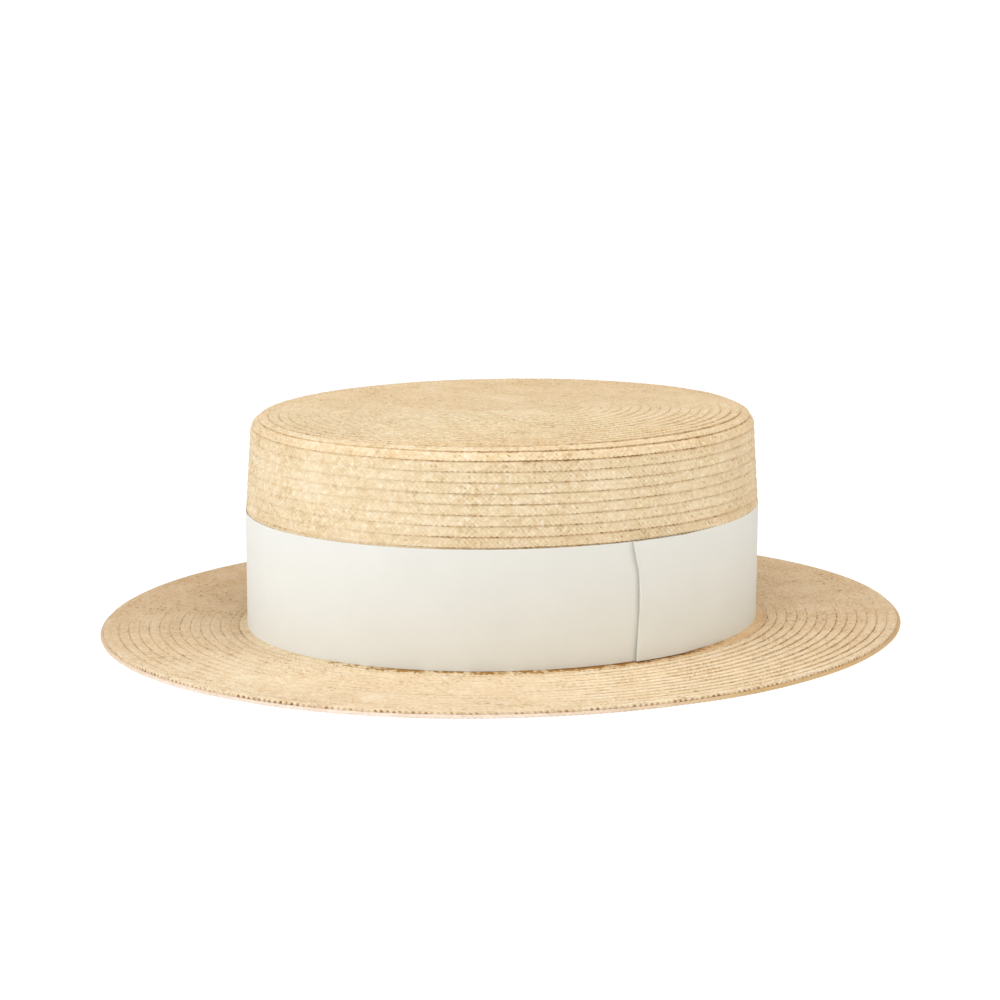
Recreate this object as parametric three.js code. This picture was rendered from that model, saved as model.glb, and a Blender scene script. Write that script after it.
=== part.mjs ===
// A straw boater: a flat-topped crown and a stiff flat brim sewn from plaited straw braid, with a ribbon
// round the crown. Millimetres, +Z up. The hat stands on its brim at z = 0, with the middle of the head
// opening at the origin, the wearer's forehead towards -Y and the wearer's left towards +X.
import * as THREE from "three";

// The crown wall's outer face is an oval: half its length from front to back and half its width.
const WALL_HALF_LENGTH = 101.7;
const WALL_HALF_WIDTH = 87.3;

// Heights above the surface that the brim stands on.
const CROWN_TOP = 86.2;
const RIBBON_BOTTOM = 3.2;
const RIBBON_TOP = 48.7;

// The sewn braid: each round shows this much of its plait, and its outer edge stands proud of the next.
const ROW_PITCH = 3.8;
const ROW_STEP = 0.45;
const STRAW_WALL = 1.8;
const BRAID_LAYER = 1;

// A round's surface in profile: it starts low, just past the edge of the round before, and ends high.
const ROUND_SURFACE = [
  { share: 0.05, lift: -ROW_STEP / 2 },
  { share: 1, lift: ROW_STEP / 2 },
];

const BRIM_WIDTH = 60.05;
const BRIM_THICKNESS = 2.1;
const CORNER_RADIUS = 9;
const TIP_ROUNDS = 2;
const WALL_TAPER = 2;
const FOOT_WIDTH = 3.6;
const FOOT_FILLET = 1;
const EDGE_GROOVE = 0.7;

const RIBBON_THICKNESS = 1;
const RIBBON_SEAM = THREE.MathUtils.degToRad(103.5);
const LAP_LENGTH = 20;
const LAP_RUN_OUT = 12;
const SEAM_BOW = 1.8;
const SEAM_EASE = 8;

// The clearance left between pieces that lie against each other.
const GAP = 0.3;

const SEGMENTS = 56;
const RIBBON_SEGMENTS = 66;
const RIBBON_ROWS = 6;
const CORNER_STEPS = 5;
const FILLET_STEPS = 3;

const straw = new THREE.MeshStandardMaterial({ color: 0xe8c994, roughness: 0.6, metalness: 0 });
const strawBrim = new THREE.MeshStandardMaterial({ color: 0xdfbd8a, roughness: 0.6, metalness: 0 });
const ribbonCloth = new THREE.MeshStandardMaterial({ color: 0xe9e3d6, roughness: 0.5, metalness: 0 });

// A profile point, given as how far it lies outside the crown wall and its height.
function at(outside, height) {
  return new THREE.Vector2(WALL_HALF_WIDTH + outside, height);
}

// Sweeps a closed profile round the head oval. The lathe makes a round piece, and each of its points is
// then moved along the length of the hat, so that every ring is an oval the same distance from the wall.
function ovalLathe(profile) {
  const geometry = new THREE.LatheGeometry(profile, SEGMENTS);
  const position = geometry.getAttribute("position");
  const stretch = WALL_HALF_LENGTH - WALL_HALF_WIDTH;
  for (let segment = 0; segment <= SEGMENTS; segment += 1) {
    const along = stretch * Math.cos((2 * Math.PI * segment) / SEGMENTS);
    for (let j = 0; j < profile.length; j += 1) {
      const i = segment * profile.length + j;
      position.setZ(i, position.getZ(i) + along);
    }
  }
  geometry.rotateX(Math.PI / 2);
  geometry.computeVertexNormals();
  return geometry;
}

// The profile of sewn rounds of braid along a path: each round starts low, under the edge of the one
// before it, and ends high. The path runs with the outer side of the straw on its left.
function braidRows(path, first, last) {
  const length = path.getLength();
  const count = Math.round((last - first) / ROW_PITCH);
  const points = [];
  for (let row = 0; row < count; row += 1) {
    for (const { share, lift } of ROUND_SURFACE) {
      const along = THREE.MathUtils.lerp(first, last, (row + share) / count);
      const point = path.getPointAt(along / length);
      const tangent = path.getTangentAt(along / length);
      const outward = new THREE.Vector2(-tangent.y, tangent.x);
      points.push(point.addScaledVector(outward, lift));
    }
  }
  return points;
}

// The points of an arc in a profile, its two ends included.
function arcPoints(centre, radius, from, to, steps) {
  return Array.from({ length: steps + 1 }, (_, k) => {
    const angle = from + ((to - from) * k) / steps;
    return new THREE.Vector2(centre.x + radius * Math.cos(angle), centre.y + radius * Math.sin(angle));
  });
}

// The crown: the flat tip, the rounded corner and the side wall, which ends in one round of braid that
// turns out over the inner edge of the brim.
function crown() {
  const corner = at(-WALL_TAPER - CORNER_RADIUS, CROWN_TOP - CORNER_RADIUS);
  const footBottom = BRAID_LAYER + GAP;
  const footTop = footBottom + BRAID_LAYER;
  const tip = new THREE.Vector2(0, CROWN_TOP);
  const wallEnd = at(0, RIBBON_TOP + GAP);

  const outer = new THREE.Path([tip, new THREE.Vector2(corner.x, CROWN_TOP)]);
  outer.absarc(corner.x, corner.y, CORNER_RADIUS, Math.PI / 2, 0, true);
  outer.lineTo(wallEnd.x, wallEnd.y);
  const rowsFrom = corner.x - TIP_ROUNDS * ROW_PITCH;

  const fillet = at(FOOT_FILLET, footTop + FOOT_FILLET);
  const profile = [
    tip,
    new THREE.Vector2(rowsFrom, CROWN_TOP),
    ...braidRows(outer, rowsFrom, outer.getLength()),
    at(0, RIBBON_TOP),
    ...arcPoints(fillet, FOOT_FILLET, Math.PI, 1.5 * Math.PI, FILLET_STEPS),
    at(FOOT_WIDTH, footTop),
    at(FOOT_WIDTH, footBottom),
    at(-STRAW_WALL, footBottom),
    at(-STRAW_WALL, RIBBON_TOP),
    ...arcPoints(corner, CORNER_RADIUS - STRAW_WALL, 0, Math.PI / 2, CORNER_STEPS),
    new THREE.Vector2(0, CROWN_TOP - STRAW_WALL),
  ];
  return new THREE.Mesh(ovalLathe(profile.reverse()), straw);
}

// The brim: flat rounds of braid. Its inner edge is one layer thick where the crown's last round is sewn
// down on it. Its outer edge is two rounds, one over the other, with a groove between them.
function brim() {
  const shoulder = FOOT_WIDTH + GAP;
  const edge = BRIM_WIDTH - EDGE_GROOVE;

  const top = new THREE.Path([at(shoulder, BRIM_THICKNESS), at(edge, BRIM_THICKNESS)]);
  const profile = [
    at(-STRAW_WALL, 0),
    at(-STRAW_WALL, BRAID_LAYER),
    at(shoulder, BRAID_LAYER),
    ...braidRows(top, 0, top.getLength()),
    at(edge, BRAID_LAYER + GAP),
    at(edge - EDGE_GROOVE, BRAID_LAYER + GAP / 2),
    at(edge, BRAID_LAYER),
    at(BRIM_WIDTH, BRAID_LAYER - GAP),
    at(BRIM_WIDTH, GAP),
    at(edge, 0),
    at(-STRAW_WALL, 0),
  ];
  return new THREE.Mesh(ovalLathe(profile.reverse()), strawBrim);
}

// A point of the ribbon's plan at an angle from the front of the hat, a distance outside the crown wall.
function onOval(angle, outside) {
  return new THREE.Vector2(
    (WALL_HALF_WIDTH + outside) * Math.sin(angle),
    -(WALL_HALF_LENGTH + outside) * Math.cos(angle),
  );
}

// How far the ribbon's inner face lies outside the wall, a length of ribbon away from its folded end: it
// lies over the other end of the ribbon first, and then runs out onto the wall.
function ribbonStandOff(fromFold) {
  const over = GAP + RIBBON_THICKNESS;
  return GAP + over * (1 - THREE.MathUtils.smoothstep(fromFold, LAP_LENGTH, LAP_LENGTH + LAP_RUN_OUT));
}

// The ribbon: one strip that goes once round the crown. Its end is folded under, and lies over its start
// on the wearer's left. The fold bows a little towards the back of the hat at half height.
function ribbon() {
  const turn = 2 * Math.PI + LAP_LENGTH / WALL_HALF_LENGTH;
  const inner = [];
  const outer = [];
  for (let k = 0; k <= RIBBON_SEGMENTS; k += 1) {
    const angle = (turn * k) / RIBBON_SEGMENTS;
    const standOff = ribbonStandOff(angle * WALL_HALF_LENGTH);
    inner.push(onOval(RIBBON_SEAM + angle, standOff));
    outer.push(onOval(RIBBON_SEAM + angle, standOff + RIBBON_THICKNESS));
  }
  const foldTurn = RIBBON_THICKNESS / 2 / WALL_HALF_LENGTH;
  const fold = onOval(RIBBON_SEAM - foldTurn, ribbonStandOff(0) + RIBBON_THICKNESS / 2);
  const plan = new THREE.Shape([fold, ...outer, ...inner.reverse()]);
  const depth = RIBBON_TOP - RIBBON_BOTTOM;
  const geometry = new THREE.ExtrudeGeometry(plan, { depth, steps: RIBBON_ROWS, bevelEnabled: false });
  bowSeam(geometry, depth);
  geometry.translate(0, 0, RIBBON_BOTTOM);
  return new THREE.Mesh(geometry, ribbonCloth);
}

// Shifts the folded end round the hat by the seam's bow, fading out along the lap. Only the layer that
// lies on top moves.
function bowSeam(geometry, depth) {
  const underLayer = GAP + RIBBON_THICKNESS + GAP / 2;
  const position = geometry.getAttribute("position");
  for (let i = 0; i < position.count; i += 1) {
    const point = new THREE.Vector3().fromBufferAttribute(position, i);
    const angle = Math.atan2(point.x / WALL_HALF_WIDTH, -point.y / WALL_HALF_LENGTH);
    const outside = point.x / Math.sin(angle) - WALL_HALF_WIDTH;
    const fromFold = Math.abs(angle - RIBBON_SEAM) * WALL_HALF_LENGTH;
    if (outside > underLayer && fromFold < SEAM_EASE) {
      const bow = SEAM_BOW * Math.sin((Math.PI * point.z) / depth) * (1 - fromFold / SEAM_EASE);
      const moved = onOval(angle + bow / WALL_HALF_LENGTH, outside);
      position.setXY(i, moved.x, moved.y);
    }
  }
  geometry.computeVertexNormals();
}

const hat = new THREE.Group();
for (const [name, mesh] of Object.entries({ crown: crown(), brim: brim(), ribbon: ribbon() })) {
  mesh.name = name;
  hat.add(mesh);
}

export default hat;
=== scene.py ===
# A straw boater hat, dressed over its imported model. The lengths named here are in millimetres, and MM
# turns them to metres. The wearer's forehead is towards -Y, and the wearer's left towards +X.
import math

import bmesh
import bpy
import numpy as np
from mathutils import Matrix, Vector


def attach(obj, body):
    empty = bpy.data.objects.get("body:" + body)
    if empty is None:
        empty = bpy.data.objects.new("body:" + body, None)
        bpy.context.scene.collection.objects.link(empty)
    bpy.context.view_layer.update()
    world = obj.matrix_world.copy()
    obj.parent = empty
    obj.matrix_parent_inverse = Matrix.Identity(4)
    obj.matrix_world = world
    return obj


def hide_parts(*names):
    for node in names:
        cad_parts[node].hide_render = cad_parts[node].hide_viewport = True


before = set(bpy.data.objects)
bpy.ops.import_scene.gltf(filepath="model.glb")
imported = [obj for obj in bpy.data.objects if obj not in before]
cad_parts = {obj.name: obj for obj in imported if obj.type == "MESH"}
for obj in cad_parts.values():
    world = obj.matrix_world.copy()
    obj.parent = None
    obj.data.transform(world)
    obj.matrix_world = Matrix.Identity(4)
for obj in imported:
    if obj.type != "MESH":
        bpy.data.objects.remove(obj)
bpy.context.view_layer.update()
MM = 0.001

# Camera: a long lens, a little above the table, that sees the hat from the wearer's left and a little from
# the front, as it stands on its brim.
CAMERA_PLACE = Vector((999.9, -325.8, 261.4)) * MM
CAMERA_TARGET = Vector((-0.5, -1.5, 49.75)) * MM
CAMERA_ROLL = 0.002
LENS = 96.5

camera_data = bpy.data.cameras.new("camera")
camera_data.lens = LENS
camera = bpy.data.objects.new("camera", camera_data)
bpy.context.scene.collection.objects.link(camera)
camera.location = CAMERA_PLACE
camera.rotation_mode = "QUATERNION"
camera.rotation_quaternion = (CAMERA_TARGET - CAMERA_PLACE).to_track_quat("-Z", "Y")
camera.rotation_mode = "XYZ"
camera.rotation_euler.rotate_axis("Z", CAMERA_ROLL)
bpy.context.scene.camera = camera

# Crown, outside: one plait of split straw, sewn in a spiral from the middle of the tip over the rounded
# corner and down the wall. Each round is laid over the next one's upper edge, so it stands out below. The
# tip is pressed flatter than the wall, and so is the hem that the ribbon covers.
WALL_HALF_WIDTH = 87.3
WALL_HALF_LENGTH = 103.2
CROWN_TOP = 86.2
WALL_TAPER = 2
CORNER_RADIUS = 6.5
RIBBON_TOP = 49
CROWN_HEM = 44
ARC_STEPS = 24

# The first round starts before the middle of the tip, so that a round's lower edge falls on the corner.
CROWN_START = -5.65
ROW_PITCH = 4.0
STRAND_WIDTH = 2.0
SPARE_TURNS = 2
STEPS_PER_TURN = 720
SLOPE_REACH = 0.4

# A round's edges lie this much above and below its middle, and its outer edge is drawn in at crossings.
EDGE_LIFT = 0.26
PICOT = 0.26

# Handwork: how far a strand strays along and across the plait, the share of its height that it strays by,
# and of its painted gap shade, within the plait and at its edges. WITHIN gives the first and last strand
# that count as within. The whole plait waves a little as it is sewn, in two waves of their own size
# and length.
STRAY_ALONG = 0.2
STRAY_ACROSS = 0.1
STRAY_LIFT = 0.35
STRAY_SHADE_WITHIN = 0.4
STRAY_SHADE_EDGE = 0.2
WITHIN = (0.2, 1.8)
WAVES = ({"size": 0.09, "length": 23, "start": 1}, {"size": 0.07, "length": 9.1, "start": 2})
WAVE_LIFT = 0.3

# A plait that is pressed shut still has this share of its relief.
PRESSED_RELIEF = 0.12

# Points nearer than this are joined, and narrower faces than a sliver are dissolved.
MERGE_DISTANCE = 0.02
SLIVER = 0.01
CREASE_ANGLE = math.radians(50)

# The brim has sprung up a little off the table, at the back of the wearer's left.
BRIM_WIDTH = 58.4
SPRUNG_UP = 1.7
SPRUNG_SIDE = math.radians(135)

# The plait across its width: where each line of it lies, how far the straw stands off the round's plane
# where a strand is on top and where strands cross, the strand's own coordinate, and how dark its painted
# shade is at a crossing and along a strand.
PLAIT = [
    {"across": -0.6, "top": -0.20, "crossing": -0.20, "strand": -0.3, "shade_at_crossing": 1.0, "along": 1.0},
    {"across": 0.1, "top": -0.04, "crossing": -0.12, "strand": 0.0, "shade_at_crossing": 1.0, "along": 0.85},
    {"across": 1.0, "top": 0.17, "crossing": -0.05, "strand": 0.5, "shade_at_crossing": 0.4, "along": 0.0},
    {"across": 2.0, "top": 0.2, "crossing": -0.2, "strand": 1.0, "shade_at_crossing": 1.0, "along": 0.0},
    {"across": 3.0, "top": 0.18, "crossing": -0.05, "strand": 1.5, "shade_at_crossing": 0.4, "along": 0.0},
    {"across": 3.98, "top": 0.06, "crossing": -0.08, "strand": 2.0, "shade_at_crossing": 0.5, "along": 0.0},
    {"across": 4.04, "top": -0.62, "crossing": -0.62, "strand": 2.2, "shade_at_crossing": 0.8, "along": 0.35},
]


def meridian(points):
    """A path up the middle of a section through the hat: the length reached at each corner, and the corners
    themselves, each a distance outside the crown wall and a height."""
    corners = np.array(points, float)
    length = np.concatenate([[0], np.cumsum(np.hypot(*np.diff(corners, axis=0).T))])
    return length, corners


def arc(centre, radius, first, last):
    """Points of an arc in a section, both ends included."""
    angles = np.radians(np.linspace(first, last, ARC_STEPS + 1))
    return [(centre[0] + radius * math.cos(a), centre[1] + radius * math.sin(a)) for a in angles]


def spiral(path, start, pitch):
    """A line wound round the head oval, a pitch further along a path with every turn: its angles from
    the front of the hat, and the length of straw that reaches to each of them."""
    length, corners = path
    turns = SPARE_TURNS + (length[-1] - start) / pitch if pitch else 1
    angle = np.arange(0, turns * STEPS_PER_TURN + 1) * (2 * math.pi / STEPS_PER_TURN)
    middle = start + pitch * (angle / (2 * math.pi) + 0.5)
    outside = np.interp(middle, length, corners[:, 0])
    sideways = (WALL_HALF_WIDTH + outside) * np.cos(angle)
    lengthways = (WALL_HALF_LENGTH + outside) * np.sin(angle)
    speed = np.hypot(sideways, lengthways)
    reached = np.concatenate([[0], np.cumsum((speed[1:] + speed[:-1]) / 2 * np.diff(angle))])
    return angle, reached


def sprung(angle, outside):
    """How far the brim has sprung up off the table: most at its outer edge, on one side of the hat."""
    side = (1 + np.cos(angle - SPRUNG_SIDE)) / 2
    return SPRUNG_UP * side ** 2 * (np.maximum(outside, 0) / BRIM_WIDTH) ** 2


def on_hat(path, angle, place, lift):
    """Points of the hat in mm, from an angle from its front, a place on a path and a lift off the path."""
    length, corners = path

    def at(places):
        return [np.interp(places, length, corners[:, k]) for k in (0, 1)]

    outside, height = at(place)
    behind = at(np.clip(place - SLOPE_REACH, length[0], length[-1]))
    ahead = at(np.clip(place + SLOPE_REACH, length[0], length[-1]))
    run = ahead[0] - behind[0]
    rise = ahead[1] - behind[1]
    size = np.maximum(np.hypot(run, rise), 1e-9)
    outside = outside - lift * rise / size
    height = height + lift * run / size
    height = height + sprung(angle, outside)
    x = (WALL_HALF_WIDTH + outside) * np.sin(angle)
    y = -(WALL_HALF_LENGTH + outside) * np.cos(angle)
    return np.stack([x, y, height], 1)


def by_angle(table, angle):
    """A value that changes round the hat: each row is an angle from the front in degrees, and the value."""
    return np.interp(np.degrees(angle), *zip(*table), period=360)


def by_place(table, place):
    """A value that changes along a path: each row is a place on the path in mm, and the value."""
    return np.interp(place, *zip(*table))


def plait_grid(name, strands, lines):
    """A flat grid, two faces long for each strand, as a mesh, with each vertex's half strand and line."""
    shape = bmesh.new()
    bmesh.ops.create_grid(shape, x_segments=2 * strands, y_segments=len(lines) - 1, size=1)
    mesh = bpy.data.meshes.new(name)
    shape.to_mesh(mesh)
    shape.free()
    flat = np.empty(3 * len(mesh.vertices), np.float32)
    mesh.vertices.foreach_get("co", flat)
    flat = flat.reshape(-1, 3).astype(float)
    half_strand = np.rint((flat[:, 0] + 1) * strands).astype(int)
    line = np.rint((flat[:, 1] + 1) / 2 * (len(lines) - 1)).astype(int)
    return mesh, half_strand, line


def store(mesh, name, values):
    """Keeps a value for each point of a mesh, which its material reads."""
    mesh.attributes.new(name, "FLOAT", "POINT").data.foreach_set("value", values.astype(np.float32))


def close_plait(mesh, beyond):
    """Deletes the faces that lie wholly beyond the plait's ends, joins what meets, and turns the straw's
    outer side out."""
    shape = bmesh.new()
    shape.from_mesh(mesh)
    shape.verts.ensure_lookup_table()
    hidden = [face for face in shape.faces if all(beyond[vertex.index] for vertex in face.verts)]
    bmesh.ops.delete(shape, geom=hidden, context="FACES")
    bmesh.ops.remove_doubles(shape, verts=shape.verts, dist=MERGE_DISTANCE * MM)
    bmesh.ops.dissolve_degenerate(shape, edges=shape.edges, dist=SLIVER * MM)
    bmesh.ops.reverse_faces(shape, faces=shape.faces)
    for face in shape.faces:
        face.smooth = True
    shape.to_mesh(mesh)
    shape.free()
    mesh.set_sharp_from_angle(angle=CREASE_ANGLE)


def placed(name, mesh):
    """Puts a mesh in the scene as an object at the origin."""
    piece = bpy.data.objects.new(name, mesh)
    bpy.context.scene.collection.objects.link(piece)
    return piece


def sewn_plait(name, path, start, ends, lines, pitch=ROW_PITCH, seed=1, relief_and_shade=((0, 1),),
               slack_and_shade=((0, 1),), painted_shade=((0, 0),), painted_shade_along=((0, 0),), strand_width=STRAND_WIDTH):
    """A plait wound round the hat along a path, in a spiral or, without a pitch, in one closed round.
    Along the path, one table sets how boldly the plait stands out, which also scales its painted gap shade,
    and one how far painted shade darkens its colour. Round the hat, one sets how loose the plait is, which
    sets both its relief and its painted gap shade, and one how far painted shade darkens its straw."""
    angles, reached = spiral(path, start, pitch)
    strands = round(reached[-1] / strand_width)
    closed = not pitch
    last = len(lines) - 1
    mesh, half_strand, line = plait_grid(name, strands, lines)
    column = {key: np.array([row[key] for row in lines], float)[line] for key in lines[0]}
    crossing = np.rint(half_strand + 2 * column["strand"]) % 2 == 0
    counted = half_strand % (2 * strands) if closed else half_strand
    random = np.random.default_rng(seed)
    stray = random.uniform(-1, 1, (2 * strands + 1, len(lines), 4))[counted, line]

    along = half_strand / 2 * reached[-1] / strands + STRAY_ALONG * stray[:, 0]
    along = along % reached[-1] if closed else np.clip(along, 0, reached[-1])
    angle = np.interp(along, reached, angles)
    wander = sum(wave["size"] * np.sin(along / wave["length"] + wave["start"] * seed) for wave in WAVES)
    within = (line > 1) & (line < last - 1)
    across = column["across"] + wander + STRAY_ACROSS * stray[:, 1] * within
    across = across - np.where(crossing & (line >= last - 1), PICOT, 0)
    place = np.clip(start + pitch * angle / (2 * math.pi) + across, *ends)

    bold = by_place(relief_and_shade, place)
    around = by_angle(slack_and_shade, angle)
    width = lines[-1]["across"]
    slope = EDGE_LIFT * (2 * np.clip(column["across"], 0, width) / width - 1)
    stand = np.where(crossing, column["crossing"], column["top"]) * (1 + STRAY_LIFT * stray[:, 2])
    lift = bold * (PRESSED_RELIEF + (1 - PRESSED_RELIEF) * around) * (slope + stand)
    lift = lift + WAVE_LIFT * wander * np.minimum(bold, 1)
    mesh.vertices.foreach_set("co", (on_hat(path, angle, place, lift) * MM).astype(np.float32).ravel())

    corner_vertex = np.empty(len(mesh.loops), np.int32)
    mesh.loops.foreach_get("vertex_index", corner_vertex)
    strand_place = np.stack([half_strand / 2, column["strand"]], 1)[corner_vertex]
    mesh.uv_layers.new(name="plait").uv.foreach_set("vector", strand_place.astype(np.float32).ravel())
    # Painted shade: how dark the material paints the gaps and the lines between rounds, and how far it
    # darkens the straw, kept for each point.
    inner = (column["strand"] > WITHIN[0]) & (column["strand"] < WITHIN[1])
    uneven = np.where(inner, STRAY_SHADE_WITHIN, STRAY_SHADE_EDGE)
    gap_shading = np.where(crossing, column["shade_at_crossing"], column["along"]) * (1 + uneven * (stray[:, 3] - 1))
    store(mesh, "painted_gap_shade", bold * around * gap_shading)
    store(mesh, "painted_shade", by_angle(painted_shade, angle) + by_place(painted_shade_along, place))

    close_plait(mesh, (place <= ends[0]) | (place >= ends[1]))
    return placed(name, mesh)


def linear(colour):
    """An sRGB hex colour as linear RGBA."""
    values = [int(colour[k:k + 2], 16) / 255 for k in (1, 3, 5)]
    return [v / 12.92 if v <= 0.04045 else ((v + 0.055) / 1.055) ** 2.4 for v in values] + [1]


def add(tree, kind, inputs, **settings):
    """Adds a node, sets its properties, and gives its inputs a value or a link from an output."""
    node = tree.nodes.new(kind)
    for name, value in settings.items():
        setattr(node, name, value)
    for socket, value in inputs.items():
        if isinstance(value, bpy.types.NodeSocket):
            tree.links.new(value, node.inputs[socket])
        else:
            node.inputs[socket].default_value = value
    return node


# The sizes of what varies in the straw: areas that are washed paler and where painted shade at the
# strands' sides is stronger, patches where the bleach took less, short stretches where painted gap shade
# is stronger, and flecks of painted highlight and painted shade. The plait's map counts strands, so what
# varies with the strands is given in their widths.
AREA_SIZE = 16
PATCH_SIZE = 9
GAP_SHADE_SIZE = 3.8
FLECK_SIZE = 1.7
FIBRES_IN_STRAND = (7, 0.9, 1)
STREAKS_IN_PLAIT = (0.7, 1.3, 1)
STRAND_RIDGE = 0.3


def split_straw(name, pale, gold, shade_colour, gap_shade_tint, gap_shade_strength, shade_spotting):
    """Split wheat straw, bleached and plaited one over one: satin strands that slant both ways, each its
    own tone, with fine fibres along them, patches where the bleach took less, painted highlights on some
    strands and flecks, and painted shade in its gaps, at the strands' sides and in small spots."""
    material = bpy.data.materials.new(name)
    material.use_nodes = True
    tree = material.node_tree
    shader = tree.nodes["Principled BSDF"]
    colours = {"data_type": "RGBA"}

    # Each cell of the slanted lattice is the visible part of one strand, and cells slant by turns.
    plait = add(tree, "ShaderNodeUVMap", {}, uv_map="plait").outputs["UV"]
    place = add(tree, "ShaderNodeTexCoord", {}).outputs["Object"]
    slant = {"Vector": plait, "Scale": (math.sqrt(2), math.sqrt(2), 1), "Rotation": (0, 0, math.pi / 4)}
    lattice = add(tree, "ShaderNodeMapping", slant).outputs[0]
    cell = add(tree, "ShaderNodeVectorMath", {0: lattice}, operation="FLOOR").outputs[0]
    tone = add(tree, "ShaderNodeTexWhiteNoise", {"Vector": cell}, noise_dimensions="3D").outputs["Value"]
    halves = {0: cell, 1: (0.5, 0.5, 0)}
    way = add(tree, "ShaderNodeVectorMath", halves, operation="DOT_PRODUCT").outputs["Value"]
    way = add(tree, "ShaderNodeMath", {0: way}, operation="FRACT").outputs[0]
    way = add(tree, "ShaderNodeMath", {0: way, 1: 2.0}, operation="MULTIPLY").outputs[0]
    turn = {"Vector": lattice, "Angle": math.pi / 2}
    turned = add(tree, "ShaderNodeVectorRotate", turn, rotation_type="Z_AXIS").outputs[0]
    strand = add(tree, "ShaderNodeMix", {0: way, 4: lattice, 5: turned}, data_type="VECTOR").outputs[1]
    side = add(tree, "ShaderNodeVectorMath", {0: strand}, operation="FRACTION").outputs[0]
    side = add(tree, "ShaderNodeSeparateXYZ", {0: side}).outputs["X"]
    side = add(tree, "ShaderNodeMath", {0: side, 1: 0.5}, operation="SUBTRACT").outputs[0]
    side = add(tree, "ShaderNodeMath", {0: side}, operation="ABSOLUTE").outputs[0]

    # Fibres run along a strand, and streaks of tone run on from strand to strand.
    fibres = add(tree, "ShaderNodeMapping", {"Vector": strand, "Scale": FIBRES_IN_STRAND}).outputs[0]
    fibres = add(tree, "ShaderNodeTexNoise", {"Vector": fibres, "Scale": 1, "Detail": 3}).outputs[0]
    streaks = add(tree, "ShaderNodeMapping", {"Vector": plait, "Scale": STREAKS_IN_PLAIT}).outputs[0]
    streaks = add(tree, "ShaderNodeTexNoise", {"Vector": streaks, "Scale": 1, "Detail": 2}).outputs[0]
    patches = {"Vector": place, "Scale": 1 / (PATCH_SIZE * MM), "Detail": 4, "Roughness": 0.65}
    patches = add(tree, "ShaderNodeTexNoise", patches).outputs[0]
    flecks = {"Vector": place, "Scale": 1 / (FLECK_SIZE * MM), "Detail": 2}
    flecks = add(tree, "ShaderNodeTexNoise", flecks).outputs[0]
    areas = {"Vector": place, "Scale": 1 / (AREA_SIZE * MM), "Detail": 3}
    areas = add(tree, "ShaderNodeTexNoise", areas).outputs[0]
    stretches = {"Vector": place, "Scale": 1 / (GAP_SHADE_SIZE * MM), "Detail": 3}
    stretches = add(tree, "ShaderNodeTexNoise", stretches).outputs[0]

    # The straw runs from pale to gold. Painted highlights make some strands and flecks paler, and painted
    # shade, kept on the mesh, darkens the straw towards a deeper colour.
    shade = add(tree, "ShaderNodeMath", {0: tone, 1: 0.5}, operation="MULTIPLY").outputs[0]
    for part, share in ((patches, 1.1), (streaks, 1.1), (fibres, 0.8)):
        summed = {0: part, 1: share, 2: shade}
        shade = add(tree, "ShaderNodeMath", summed, operation="MULTIPLY_ADD").outputs[0]
    shade = add(tree, "ShaderNodeMapRange", {0: shade, 1: 1.35, 2: 2.15}).outputs[0]
    straw = add(tree, "ShaderNodeMix", {0: shade, 6: linear(pale), 7: linear(gold)}, **colours).outputs[2]
    painted_highlight = add(tree, "ShaderNodeMapRange", {0: tone, 1: 0.8, 2: 0.95, 4: 0.3}).outputs[0]
    painted_glint = add(tree, "ShaderNodeMapRange", {0: flecks, 1: 0.42, 2: 0.3, 4: 0.8}).outputs[0]
    painted_highlight = add(tree, "ShaderNodeMath", {0: painted_highlight, 1: painted_glint}, operation="MAXIMUM").outputs[0]
    straw = add(tree, "ShaderNodeMix", {0: painted_highlight, 6: straw, 7: linear("#fff3da")}, **colours).outputs[2]
    shade_amount = add(tree, "ShaderNodeAttribute", {}, attribute_name="painted_shade").outputs["Fac"]
    straw = add(tree, "ShaderNodeMix", {0: shade_amount, 6: straw, 7: linear(shade_colour)}, **colours).outputs[2]
    washed = add(tree, "ShaderNodeMapRange", {0: areas, 1: 0.45, 2: 0.3, 4: 0.12}).outputs[0]
    straw = add(tree, "ShaderNodeMix", {0: washed, 6: straw, 7: linear("#fff0e0")}, **colours).outputs[2]

    # Painted shade: the plait's gaps and the lines between rounds, the sides of strands and small spots are
    # painted dark, more in some areas and stretches than in others.
    shade_gate = add(tree, "ShaderNodeMapRange", {0: areas, 1: 0.42, 2: 0.6, 3: 0.15}).outputs[0]
    edges = add(tree, "ShaderNodeMapRange", {0: side, 1: 0.3, 2: 0.5, 4: 0.3}).outputs[0]
    shade_spots = add(tree, "ShaderNodeMapRange", {0: flecks, 1: 0.59, 2: 0.66, 4: shade_spotting}).outputs[0]
    edges = add(tree, "ShaderNodeMath", {0: edges, 1: shade_spots}, operation="MAXIMUM").outputs[0]
    edges = add(tree, "ShaderNodeMath", {0: edges, 1: shade_gate}, operation="MULTIPLY").outputs[0]
    shade_here = add(tree, "ShaderNodeMapRange", {0: stretches, 1: 0.4, 2: 0.6, 3: 0.15}).outputs[0]
    painted_shade_mask = add(tree, "ShaderNodeAttribute", {}, attribute_name="painted_gap_shade").outputs["Fac"]
    painted_shade_mask = add(tree, "ShaderNodeMapRange", {0: painted_shade_mask, 1: 0.4, 2: 0.9, 4: gap_shade_strength}, clamp=False).outputs[0]
    painted_shade_mask = add(tree, "ShaderNodeMath", {0: painted_shade_mask, 1: shade_here}, operation="MULTIPLY").outputs[0]
    painted_shade_mask = add(tree, "ShaderNodeMath", {0: painted_shade_mask, 1: edges}, operation="MAXIMUM").outputs[0]
    tinted = {0: painted_shade_mask, 6: straw, 7: linear(gap_shade_tint)}
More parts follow.
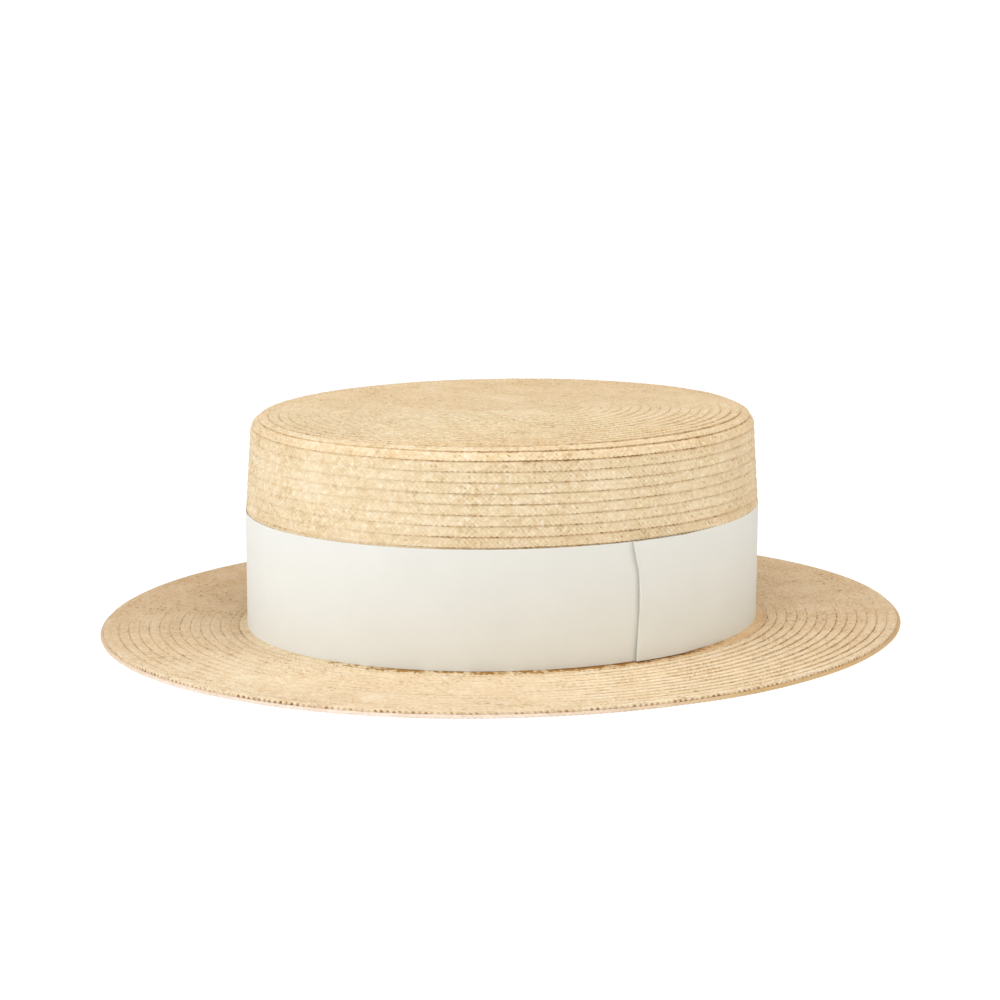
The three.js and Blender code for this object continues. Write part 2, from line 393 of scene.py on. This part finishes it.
    colour = add(tree, "ShaderNodeMix", tinted, blend_type="MULTIPLY", **colours).outputs[2]
    tree.links.new(colour, shader.inputs["Base Color"])

    gloss = add(tree, "ShaderNodeMapRange", {0: fibres, 3: 0.55, 4: 0.8}).outputs[0]
    tree.links.new(gloss, shader.inputs["Roughness"])
    shader.inputs["Specular IOR Level"].default_value = 0.35
    height = add(tree, "ShaderNodeMath", {0: fibres, 1: 0.4}, operation="MULTIPLY").outputs[0]
    height = add(tree, "ShaderNodeMath", {0: height, 1: side}, operation="SUBTRACT").outputs[0]
    ridges = {"Height": height, "Strength": 0.8, "Distance": STRAND_RIDGE * MM}
    tree.links.new(add(tree, "ShaderNodeBump", ridges).outputs[0], shader.inputs["Normal"])
    return material


# The crown's straw: pale and gold, then the deeper colour and the tint of its painted shade, and the
# strengths of its painted gap shade and painted spots.
crown_straw = split_straw("split_straw_crown", "#f6e5c4", "#e4c99b", "#d9a96c", "#ad8a48", 0.95, 0.42)
corner_centre = (-WALL_TAPER - CORNER_RADIUS, CROWN_TOP - CORNER_RADIUS)
crown_path = meridian(
    [
        (-WALL_HALF_WIDTH, CROWN_TOP),
        *arc(corner_centre, CORNER_RADIUS, 90, 0),
        (0, RIBBON_TOP),
        (0, CROWN_HEM),
    ]
)
# These tables also set painted shade: how dark the gaps are painted, and darker straw at the corner, just
# above the ribbon and on the back and the wearer's right.
crown_relief_and_shade = (
    (0, 0), (10, 0.4), (30, 0.5), (66, 0.7), (78, 1.25), (87, 1.25), (92, 1),
    (112, 1), (116, 1.2), (119.3, 1.2), (120.4, 0.35),
)
crown_painted_shade_along = ((20, 0), (50, 0.06), (76, 0.06), (80, 0.14), (87, 0.14), (92, 0), (113, 0), (117, 0.1))
crown_slack_and_shade = ((0, 0.75), (22, 0.72), (36, 0.52), (52, 0.62), (66, 0.9), (130, 0.95), (200, 0.8), (300, 0.7))
crown_painted_shade = ((0, 0.05), (50, 0), (80, 0.03), (120, 0.03), (200, 0.25), (300, 0.25))
crown_outside = sewn_plait(
    "crown_outside", crown_path, CROWN_START, (0, crown_path[0][-1]), PLAIT, seed=1,
    relief_and_shade=crown_relief_and_shade, slack_and_shade=crown_slack_and_shade, painted_shade=crown_painted_shade, painted_shade_along=crown_painted_shade_along,
)
crown_outside.data.materials.append(crown_straw)
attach(crown_outside, "root")
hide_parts("crown")

# Crown, inside: the back of the same plait. It is plain straw with no lining, and here each lower round
# covers the next one's edge.
STRAW_WALL = 1.8
WALL_FOOT = 1.4
PLAIN_PLAIT = [row for row in PLAIT if row["across"] >= 0]

inside_path = meridian(
    [
        (-STRAW_WALL, WALL_FOOT),
        (-STRAW_WALL, RIBBON_TOP),
        *arc(corner_centre, CORNER_RADIUS - STRAW_WALL, 0, 90),
        (-WALL_HALF_WIDTH, CROWN_TOP - STRAW_WALL),
    ]
)
crown_inside = sewn_plait(
    "crown_inside", inside_path, -ROW_PITCH, (0, inside_path[0][-1]), PLAIN_PLAIT, seed=2
)
crown_inside.data.materials.append(crown_straw)
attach(crown_inside, "root")
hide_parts("crown")

# Foot of the crown: the last round of the wall's plait, turned out over the inner edge of the brim and
# sewn down through it. Painted shade makes a dark line on it just below the ribbon, and darkens its straw
# from the ribbon's fold round to the back. The wall is plain where the ribbon hides it.
FOOT_WIDTH = 3.7
FOOT_TOP = 2.55
FOOT_PLAIT = [
    {"across": 0.0, "top": 0, "crossing": 0, "strand": 0.0, "shade_at_crossing": 2.4, "along": 2.2},
    {"across": 0.8, "top": 0, "crossing": -0.05, "strand": 0.4, "shade_at_crossing": 2.4, "along": 2.2},
    {"across": 1.6, "top": 0, "crossing": -0.1, "strand": 0.9, "shade_at_crossing": 2.4, "along": 2.2},
    {"across": 2.5, "top": 0, "crossing": -0.05, "strand": 1.4, "shade_at_crossing": 2.2, "along": 1.6},
    {"across": 3.2, "top": 0.05, "crossing": 0, "strand": 1.9, "shade_at_crossing": 1.6, "along": 0.9},
    {"across": 3.7, "top": 0.1, "crossing": -0.05, "strand": 2.4, "shade_at_crossing": 0.3, "along": 0.1},
    {"across": 4.2, "top": 0, "crossing": 0, "strand": 2.9, "shade_at_crossing": 1.2, "along": 1.0},
    {"across": 4.8, "top": 0, "crossing": 0, "strand": 3.4, "shade_at_crossing": 1.0, "along": 1.0},
]
FOOT_PATH = [
    (0.1, 3.1),
    (0.7, 2.7),
    (1.6, FOOT_TOP),
    (2.5, FOOT_TOP - 0.05),
    (3.2, 2.35),
    (FOOT_WIDTH, 1.9),
    (3.6, 1.1),
]
HIDDEN_WALL = -0.5

# A closed round has no ends to cut off, so these lie beyond its path.
UNCUT = (-1, CROWN_TOP)

foot_path = meridian(FOOT_PATH)
# Painted shade: the dark line under the ribbon's edge, strongest on the wearer's left, and darker straw from
# the ribbon's fold round to the back.
foot_slack_and_shade = ((0, 0.2), (30, 0.3), (48, 0.95), (75, 1), (103, 1.2), (115, 0.9), (135, 0.3), (300, 0.2))
foot_painted_shade = ((0, 0.15), (20, 0), (60, 0), (80, 0), (105, 0.5), (130, 0.6), (200, 0.4), (300, 0.5))
crown_foot = sewn_plait(
    "crown_foot", foot_path, 0, UNCUT, FOOT_PLAIT, pitch=0, seed=3,
    slack_and_shade=foot_slack_and_shade, painted_shade=foot_painted_shade,
)
hidden_wall_path = meridian([(HIDDEN_WALL, CROWN_HEM + 1), (HIDDEN_WALL, 3.4), (0.4, 2.8)])
hidden_lines = [
    {"across": across, "top": 0, "crossing": 0, "strand": across / STRAND_WIDTH, "shade_at_crossing": 0, "along": 0}
    for across in hidden_wall_path[0]
]
crown_hidden_wall = sewn_plait(
    "crown_hidden_wall", hidden_wall_path, 0, UNCUT, hidden_lines, pitch=0, seed=8,
    relief_and_shade=((0, 0),),
)
for piece in (crown_hidden_wall, crown_foot):
    piece.data.materials.append(crown_straw)
    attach(piece, "root")
    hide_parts("crown")

# Brim, upper side: rounds of the same plait sewn flat and pressed stiff. They start under the crown's
# foot, and each covers the inner edge of the next.
BRIM_TOP = 2.1
EDGE_SETBACK = 1.6
# The brim's straw: pale and gold, then the deeper colour and the tint of its painted shade, and the
# strengths of its painted gap shade and painted spots.
brim_straw = split_straw("split_straw_brim", "#f9e8c9", "#e6ca9f", "#d3a067", "#a37a42", 1.0, 0.5)

brim_path = meridian(
    [(-1.5, 1.1), (3.2, 1.1), (4.2, BRIM_TOP), (BRIM_WIDTH - EDGE_SETBACK - 1, BRIM_TOP)]
)
# Painted shade: how dark the brim's gaps are painted and how far its straw is darkened change round the hat.
brim_slack_and_shade = (
    (0, 0.8), (15, 0.62), (32, 0.15), (42, 0.03), (80, 0.05), (100, 0.65), (130, 1.1), (345, 0.95)
)
brim_painted_shade = (
    (0, 0.25), (30, 0.03), (50, 0.15), (75, 0.15), (95, 0.02), (130, 0.1), (160, 0.3), (200, 0.4), (300, 0.5)
)
# On the brim, the plait's outer edge line gets painted shade along it too.
brim_lines = [{**row, "along": 0.4} if row["strand"] == 2 else row for row in PLAIT]
brim_upper = sewn_plait(
    "brim_upper", brim_path, 1 - ROW_PITCH, (0, brim_path[0][-1]), brim_lines, seed=4,
    slack_and_shade=brim_slack_and_shade, painted_shade=brim_painted_shade,
)
brim_upper.data.materials.append(brim_straw)
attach(brim_upper, "root")
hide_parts("brim")

# Brim, underside: the back of the same rounds, which lies on the table, and their inner edge, which turns
# up inside the head opening.
UNDERSIDE = 0.5
INNER_EDGE = 1.4
under_path = meridian([(BRIM_WIDTH - 2, UNDERSIDE), (-STRAW_WALL, UNDERSIDE), (-STRAW_WALL, INNER_EDGE)])
brim_under = sewn_plait("brim_under", under_path, -ROW_PITCH, (0, under_path[0][-1]), PLAIN_PLAIT, seed=5)
brim_under.data.materials.append(brim_straw)
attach(brim_under, "root")
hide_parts("brim")

# Brim edge: two closed rounds, one sewn over the other, which bind the end of the spiral. The lower one
# is paler and stands out a little. Dark dots are painted where the two meet, and painted shade darkens
# the rounds more on some sides of the hat than on others.
edge = BRIM_WIDTH - EDGE_SETBACK
EDGE_STITCH = 2.2
UPPER_EDGE = [
    {"across": 0.0, "top": -0.1, "crossing": -0.15, "strand": 0.0, "shade_at_crossing": 0.7, "along": 0.5},
    {"across": 1.0, "top": 0.12, "crossing": -0.03, "strand": 0.5, "shade_at_crossing": 0.2, "along": 0.0},
    {"across": 2.0, "top": 0.15, "crossing": -0.1, "strand": 1.0, "shade_at_crossing": 0.6, "along": 0.0},
    {"across": 3.0, "top": 0.1, "crossing": 0.0, "strand": 1.5, "shade_at_crossing": 0.2, "along": 0.0},
    {"across": 4.0, "top": 0.05, "crossing": 0.0, "strand": 2.0, "shade_at_crossing": 0.3, "along": 0.0},
    {"across": 4.5, "top": 0.05, "crossing": -0.08, "strand": 2.5, "shade_at_crossing": 1.1, "along": 0.3},
    {"across": 5.1, "top": 0.1, "crossing": -0.1, "strand": 2.6, "shade_at_crossing": 1.2, "along": 0.5},
]
LOWER_EDGE = [
    {"across": 0.0, "top": 0.0, "crossing": 0.0, "strand": 0.5, "shade_at_crossing": 1.3, "along": 0.3},
    {"across": 0.9, "top": 0.05, "crossing": 0.0, "strand": 0.6, "shade_at_crossing": 1.2, "along": 0.2},
    {"across": 1.4, "top": 0.05, "crossing": 0.05, "strand": 1.0, "shade_at_crossing": 0.0, "along": 0.0},
    {"across": 2.0, "top": 0.05, "crossing": 0.0, "strand": 1.5, "shade_at_crossing": 0.0, "along": 0.0},
    {"across": 2.8, "top": 0.0, "crossing": 0.0, "strand": 2.0, "shade_at_crossing": 0.0, "along": 0.0},
    {"across": 3.4, "top": 0.0, "crossing": 0.0, "strand": 2.5, "shade_at_crossing": 0.2, "along": 0.0},
    {"across": 6.5, "top": 0.0, "crossing": 0.0, "strand": 4.0, "shade_at_crossing": 0.0, "along": 0.0},
]
upper_edge_path = meridian(
    [
        (edge - 4.1, 2.3),
        (edge - 3.4, 2.55),
        (edge - 0.5, 2.5),
        (edge, 2.3),
        (edge + 0.1, 1.9),
        (edge - 0.1, 1.5),
    ]
)
lower_edge_path = meridian(
    [
        (edge - 0.8, 1.7),
        (edge + 0.3, 1.65),
        (BRIM_WIDTH - 0.4, 1.45),
        (BRIM_WIDTH, 0.85),
        (BRIM_WIDTH - 0.3, 0.3),
        (edge - 3, 0.35),
    ]
)
lower_painted_shade = ((0, 0.5), (25, 0.1), (75, 0.05), (92, 0.5), (108, 1), (330, 0.9))
# The lower round's straw: pale and gold, then the deeper colour and the tint of its painted shade, and the
# strengths of its painted gap shade and painted spots.
bleached_straw = split_straw("bleached_straw_edge", "#fbeadb", "#f3dcc9", "#d9b684", "#9d784b", 0.95, 0.2)
brim_edge_upper = sewn_plait(
    "brim_edge_upper", upper_edge_path, 0, UNCUT, UPPER_EDGE, pitch=0, seed=6,
    painted_shade=brim_painted_shade, strand_width=EDGE_STITCH,
)
brim_edge_lower = sewn_plait(
    "brim_edge_lower", lower_edge_path, 0, UNCUT, LOWER_EDGE, pitch=0, seed=7,
    painted_shade=lower_painted_shade, strand_width=EDGE_STITCH,
)
for piece, straw in ((brim_edge_upper, brim_straw), (brim_edge_lower, bleached_straw)):
    piece.data.materials.append(straw)
    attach(piece, "root")
    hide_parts("brim")

# Ribbon: one strip of ivory grosgrain, drawn tight round the crown. Its end is folded under and laps over
# its start on the wearer's left, held by a few hidden stitches, so the fold stands off a little.
RIBBON_BOTTOM = 2.8
RIBBON_HEIGHT = RIBBON_TOP - RIBBON_BOTTOM
RIBBON_THICKNESS = 0.35
RIBBON_STAND_OFF = 0.12
RIBBON_SEAM = math.radians(103.5)
LAP_LENGTH = 20
LAP_RUN_OUT = 12
FOLD_FLAP = 9
FOLD_REACH = 0.4
FOLD_OPENING = 0.3
PLAN_STEPS = {"flap": 10, "fold": 7, "lap": 12, "run_out": 8, "wall": 300}
RIBBON_ROWS = 24
SELVAGE = 0.0015
RIB_PITCH = 0.8
RIB_RELIEF = 0.03
SHADE_SIZE = 22

# The wave texture repeats at this length when its scale is 1.
WAVE_PERIOD = math.tau / 20

# The fold's line from the ribbon's lower edge to its upper one: a share of its height, and how far it
# bows round the hat. It fades out over SEAM_EASE, where the cloth also stands off and rises a little, and
# less where it is folded under. A share of the lift swings along the fold, as the cloth puckers.
FOLD_LINE = ((0, 0), (0.15, 0.3), (0.4, 1.1), (0.65, 0.9), (0.75, 0.6), (0.88, -0.9), (1, -2))
SEAM_EASE = 14
FOLD_LIFT = 1.1
UNDER_LIFT = 0.4
PUCKER = {"share": 0.2, "swing": 15}
FOLD_RISE = 0.25

# The cloth's slack over the plait, in waves round the hat.
RIPPLES = ({"size": 0.04, "waves": 17, "slant": 3}, {"size": 0.02, "waves": 41, "slant": 0})


def smooth(share):
    """Eases a share from 0 to 1."""
    return share * share * (3 - 2 * share)


def ribbon_plan():
    """The ribbon's middle line in plan, from the hidden end of its fold to its other end: rows of its
    length round the wall from the fold and its distance outside the wall. Also the wall's girth."""
    girth = 2 * math.pi * math.hypot(WALL_HALF_WIDTH, WALL_HALF_LENGTH) / math.sqrt(2)
    layer = RIBBON_THICKNESS + RIBBON_STAND_OFF
    level = RIBBON_STAND_OFF + RIBBON_THICKNESS / 2
    flap = np.linspace(0, FOLD_FLAP - FOLD_REACH, PLAN_STEPS["flap"])
    rows = [(FOLD_FLAP - k, level + layer) for k in flap]
    for turn in np.linspace(FOLD_OPENING, math.pi - FOLD_OPENING, PLAN_STEPS["fold"]):
        fold_distance = FOLD_REACH - layer / 2 * math.sin(turn)
        rows.append((fold_distance, level + 1.5 * layer - layer / 2 * math.cos(turn)))
    rows += [(k, level + 2 * layer) for k in np.linspace(FOLD_REACH, LAP_LENGTH, PLAN_STEPS["lap"])]
    for k in np.linspace(0, 1, PLAN_STEPS["run_out"] + 1)[1:]:
        rows.append((LAP_LENGTH + LAP_RUN_OUT * k, level + 2 * layer * (1 - smooth(k))))
    lap_end = LAP_LENGTH + LAP_RUN_OUT
    rows += [(k, level) for k in np.linspace(lap_end, girth + LAP_LENGTH, PLAN_STEPS["wall"])[1:]]
    return np.array(rows), girth


plan, girth = ribbon_plan()
strip_along = np.concatenate([[0], np.cumsum(np.hypot(np.diff(plan[:, 0]), np.diff(plan[:, 1])))])
row_shares = [0, *np.linspace(SELVAGE, 1 - SELVAGE, RIBBON_ROWS - 1), 1]
under_columns = PLAN_STEPS["flap"] + 2


def ribbon_place(k, share):
    """Where a point of the ribbon's middle sheet lies: its column in the plan, and share of its height."""
    fold_distance, outside = plan[k]
    near_fold = fold_distance < SEAM_EASE and k < len(plan) / 2
    ease = max(0, 1 - abs(fold_distance) / SEAM_EASE) if near_fold else 0
    pucker = 1 - PUCKER["share"] + PUCKER["share"] * math.sin(share * PUCKER["swing"])
    lifted = FOLD_LIFT * pucker * ease ** 2 * (UNDER_LIFT if k < under_columns else 1)
    bow = np.interp(share, *zip(*FOLD_LINE)) * ease
    angle = RIBBON_SEAM + 2 * math.pi * (fold_distance + bow) / girth
    ripple = sum(r["size"] * math.sin(angle * r["waves"] + share * r["slant"]) for r in RIPPLES)
    reach = outside + lifted + ripple
    x = (WALL_HALF_WIDTH + reach) * math.sin(angle)
    y = -(WALL_HALF_LENGTH + reach) * math.cos(angle)
    return Vector((x, y, RIBBON_BOTTOM + RIBBON_HEIGHT * share + FOLD_RISE * ease ** 2)) * MM


shape = bmesh.new()
bmesh.ops.create_grid(shape, x_segments=len(plan) - 1, y_segments=RIBBON_ROWS, size=1)
weave = shape.loops.layers.uv.new("weave")
for face in shape.faces:
    for loop in face.loops:
        k = round((loop.vert.co.x + 1) / 2 * (len(plan) - 1))
        loop[weave].uv = (strip_along[k], RIBBON_HEIGHT * (loop.vert.co.y + 1) / 2)
for vertex in shape.verts:
    k = round((vertex.co.x + 1) / 2 * (len(plan) - 1))
    vertex.co = ribbon_place(k, row_shares[round((vertex.co.y + 1) / 2 * RIBBON_ROWS)])
bmesh.ops.recalc_face_normals(shape, faces=shape.faces)
for face in shape.faces:
    face.smooth = True
mesh = bpy.data.meshes.new("ribbon_band")
shape.to_mesh(mesh)
shape.free()
ribbon_band = placed("ribbon_band", mesh)
thickness = ribbon_band.modifiers.new("thickness", "SOLIDIFY")
thickness.thickness = RIBBON_THICKNESS * MM
thickness.offset = 0


def ribbed_ribbon(name, ivory, shade):
    """Ivory grosgrain, matt and smooth but for the fine ribs that run across its width."""
    material = bpy.data.materials.new(name)
    material.use_nodes = True
    tree = material.node_tree
    shader = tree.nodes["Principled BSDF"]
    place = add(tree, "ShaderNodeTexCoord", {}).outputs["Object"]
    soft = {"Vector": place, "Scale": 1 / (SHADE_SIZE * MM), "Detail": 3}
    soft = add(tree, "ShaderNodeTexNoise", soft).outputs[0]
    mixed = {0: soft, 6: linear(ivory), 7: linear(shade)}
    colour = add(tree, "ShaderNodeMix", mixed, data_type="RGBA").outputs[2]
    tree.links.new(colour, shader.inputs["Base Color"])
    shader.inputs["Roughness"].default_value = 0.8
    shader.inputs["Specular IOR Level"].default_value = 0.15

    # The weave's map is in millimetres along and across the ribbon.
    strip = add(tree, "ShaderNodeUVMap", {}, uv_map="weave").outputs["UV"]
    wave = {"Vector": strip, "Scale": WAVE_PERIOD / RIB_PITCH}
    ribs = add(tree, "ShaderNodeTexWave", wave).outputs["Fac"]
    weft = {"Height": ribs, "Strength": 0.2, "Distance": RIB_RELIEF * MM}
    tree.links.new(add(tree, "ShaderNodeBump", weft).outputs[0], shader.inputs["Normal"])
    return material


ribbon_band.data.materials.append(ribbed_ribbon("ivory_grosgrain", "#edeee9", "#e6e7e2"))
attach(ribbon_band, "root")
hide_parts("ribbon")

# Studio: a glowing white table under the hat in a dim white room, with a soft box close above the hat, a
# key light low on the camera's left and a warmer fill higher on its right. Here lengths are in metres.
TABLE_HALF = 30
TABLE_GLOW = 0.95
ROOM_GLOW = 0.34
table_shape = bmesh.new()
bmesh.ops.create_grid(table_shape, x_segments=1, y_segments=1, size=TABLE_HALF)
table_mesh = bpy.data.meshes.new("light_table")
table_shape.to_mesh(table_mesh)
table_shape.free()
light_table = placed("light_table", table_mesh)
acrylic = bpy.data.materials.new("opal_acrylic")
acrylic.use_nodes = True
acrylic_shader = acrylic.node_tree.nodes["Principled BSDF"]
acrylic_shader.inputs["Base Color"].default_value = linear("#7a7a7a")
acrylic_shader.inputs["Roughness"].default_value = 0.8
acrylic_shader.inputs["Specular IOR Level"].default_value = 0.2
acrylic_shader.inputs["Emission Color"].default_value = linear("#ffffff")
acrylic_shader.inputs["Emission Strength"].default_value = TABLE_GLOW
light_table.data.materials.append(acrylic)

room = bpy.data.worlds.new("studio")
room.use_nodes = True
room.node_tree.nodes["Background"].inputs["Color"].default_value = linear("#ffffff")
room.node_tree.nodes["Background"].inputs["Strength"].default_value = ROOM_GLOW
bpy.context.scene.world = room

# Each soft box is so many degrees to the left of the camera and up from the table, and faces the hat.
LIGHTS = [
    {"name": "top", "left": -4, "up": 72, "distance": 0.7, "size": 0.55, "power": 2.78, "colour": "#ffffff"},
    {"name": "key", "left": 64, "up": 18, "distance": 1.3, "size": 0.9, "power": 7.0, "colour": "#fafcff"},
    {"name": "fill", "left": -68, "up": 36, "distance": 1.6, "size": 0.9, "power": 5.6, "colour": "#fff9f0"},
]
for light in LIGHTS:
    data = bpy.data.lights.new(light["name"], "AREA")
    data.shape = "SQUARE"
    data.size = light["size"]
    data.energy = light["power"]
    data.color = linear(light["colour"])[:3]
    turn = math.atan2(CAMERA_PLACE.x, -CAMERA_PLACE.y) - math.radians(light["left"])
    rise = math.radians(light["up"])
    toward = Vector((math.sin(turn) * math.cos(rise), -math.cos(turn) * math.cos(rise), math.sin(rise)))
    lamp = bpy.data.objects.new(light["name"], data)
    lamp.location = toward * light["distance"]
    lamp.rotation_euler = toward.to_track_quat("Z", "Y").to_euler()
    bpy.context.scene.collection.objects.link(lamp)

bpy.context.scene.view_settings.view_transform = "Standard"
